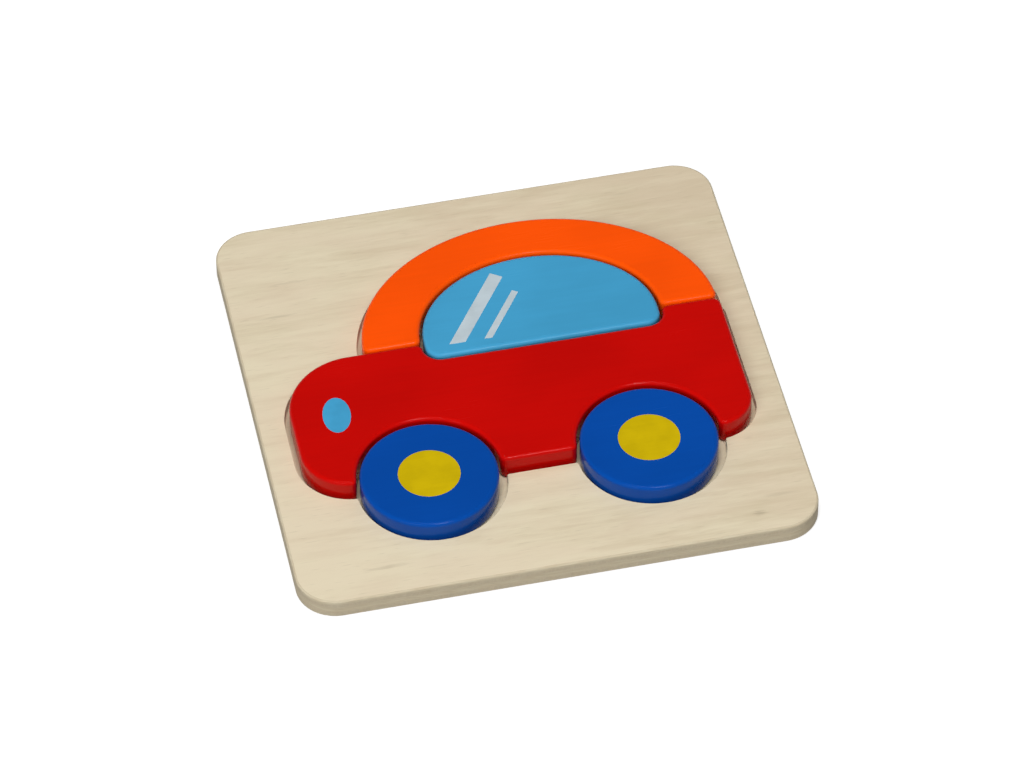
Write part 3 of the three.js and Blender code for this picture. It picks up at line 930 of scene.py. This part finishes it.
class PUZZLE_OT_stage(bpy.types.Operator):
    """Set the stage: floor, surroundings, lamps and the camera"""

    bl_idname = "puzzle.stage"
    bl_label = "Stage"

    def execute(self, context):
        settings = context.scene.puzzle_stage
        self.lay_floor(settings)
        self.light(context, settings)
        self.aim_camera(context, settings)
        context.scene.view_settings.view_transform = "Standard"
        return {"FINISHED"}

    def lay_floor(self, settings):
        half = settings.floor_side / 2
        square = np.array([[-1, -1], [1, -1], [1, 1], [-1, 1]])
        corners = np.column_stack([half * square, np.full(4, CAD_BOX[0].z - FLOOR_DROP)])
        floor = new_object("floor", corners, [np.arange(4)[None]], [True])
        floor.data.materials.append(floor_finish("white_floor"))

    def light(self, context, settings):
        """Surroundings that fade from horizon to ceiling and look white, and three lamps.

        One lamp hangs over the tray and a broad fill to its front left. Only the third is small enough to be
        mirrored as a glint, so glossy surfaces don't see the other two."""
        world = bpy.data.worlds.new("pale_room")
        world.use_nodes = True
        nodes, links = world.node_tree.nodes, world.node_tree.links
        place = nodes.new("ShaderNodeTexCoord")
        split = nodes.new("ShaderNodeSeparateXYZ")
        fade = nodes.new("ShaderNodeMapRange")
        fade.interpolation_type = "SMOOTHSTEP"
        fade.inputs["From Min"].default_value = HORIZON_RISE[0]
        fade.inputs["From Max"].default_value = HORIZON_RISE[1]
        fade.inputs["To Min"].default_value = settings.horizon
        fade.inputs["To Max"].default_value = settings.ceiling
        links.new(place.outputs["Generated"], split.inputs["Vector"])
        links.new(split.outputs["Z"], fade.inputs["Value"])
        rays = nodes.new("ShaderNodeLightPath")
        brighter = nodes.new("ShaderNodeMath")
        brighter.operation = "MAXIMUM"
        links.new(fade.outputs["Result"], brighter.inputs[0])
        links.new(rays.outputs["Is Camera Ray"], brighter.inputs[1])
        links.new(brighter.outputs[0], nodes["Background"].inputs["Strength"])
        nodes["Background"].inputs["Color"].default_value = WHITE
        context.scene.world = world
        overhead = self.hang(
            context, "overhead_lamp", settings.lamp_place, settings.lamp_size, settings.lamp_power)
        fill = self.hang(context, "front_fill", settings.fill_place, settings.fill_size, settings.fill_power)
        for lamp in (overhead, fill):
            lamp.visible_glossy = False
        self.hang(context, "glint_lamp", settings.glint_place, settings.glint_size, settings.glint_power)

    def hang(self, context, name, place, size, power):
        """A square lamp that faces the middle of the tray and isn't seen itself."""
        lamp = bpy.data.lights.new(name, "AREA")
        lamp.shape = "SQUARE"
        lamp.size = size
        lamp.energy = power
        hung = bpy.data.objects.new(name, lamp)
        hung.location = place
        hung.rotation_euler = (-Vector(place)).to_track_quat("-Z", "Y").to_euler()
        hung.visible_camera = False
        context.scene.collection.objects.link(hung)
        return hung

    def aim_camera(self, context, settings):
        """The camera looks from its place at its aim, turned about that line by its roll."""
        camera = bpy.data.cameras.new("camera")
        camera.sensor_width = SENSOR_WIDTH
        camera.lens = settings.camera_lens
        camera.clip_end = FAR_CLIP
        holder = bpy.data.objects.new("camera", camera)
        place = Vector(settings.camera_place)
        level = (Vector(settings.camera_aim) - place).to_track_quat("-Z", "Y").to_matrix()
        turned = level @ Matrix.Rotation(settings.camera_roll, 3, "Z")
        holder.matrix_world = Matrix.Translation(place) @ turned.to_4x4()
        context.scene.collection.objects.link(holder)
        context.scene.camera = holder


class PUZZLE_PT_sidebar(bpy.types.Panel):
    """Sizes, finishes and the steps that build the puzzle"""

    bl_idname = "PUZZLE_PT_sidebar"
    bl_label = "Inset Puzzle"
    bl_space_type = "VIEW_3D"
    bl_region_type = "UI"
    bl_category = "Puzzle"

    def draw(self, context):
        for name in GROUPS:
            box = self.layout.box()
            group = getattr(context.scene, name)
            for key in group.__annotations__:
                box.prop(group, key)
        for operator in OPERATORS:
            self.layout.operator(operator.bl_idname)


GROUPS = {
    "puzzle_pieces": LoosePieceSizes,
    "puzzle_marks": PrintedMarkSizes,
    "puzzle_tray": TraySizes,
    "puzzle_finishes": Finishes,
    "puzzle_stage": StageSettings,
}
OPERATORS = (
    PUZZLE_OT_stage, PUZZLE_OT_tray, PUZZLE_OT_body, PUZZLE_OT_roof, PUZZLE_OT_window, PUZZLE_OT_wheels,
)


def register():
    for name, group in GROUPS.items():
        bpy.utils.register_class(group)
        setattr(bpy.types.Scene, name, PointerProperty(type=group))
    for operator in OPERATORS:
        bpy.utils.register_class(operator)
    bpy.utils.register_class(PUZZLE_PT_sidebar)


def unregister():
    bpy.utils.unregister_class(PUZZLE_PT_sidebar)
    for operator in reversed(OPERATORS):
        bpy.utils.unregister_class(operator)
    for name, group in reversed(GROUPS.items()):
        delattr(bpy.types.Scene, name)
        bpy.utils.unregister_class(group)


def main():
    register()
    bpy.ops.puzzle.stage()
    bpy.ops.puzzle.tray()
    bpy.ops.puzzle.body()
    bpy.ops.puzzle.roof()
    bpy.ops.puzzle.window()
    bpy.ops.puzzle.wheels()


if __name__ == "__main__":
    main()
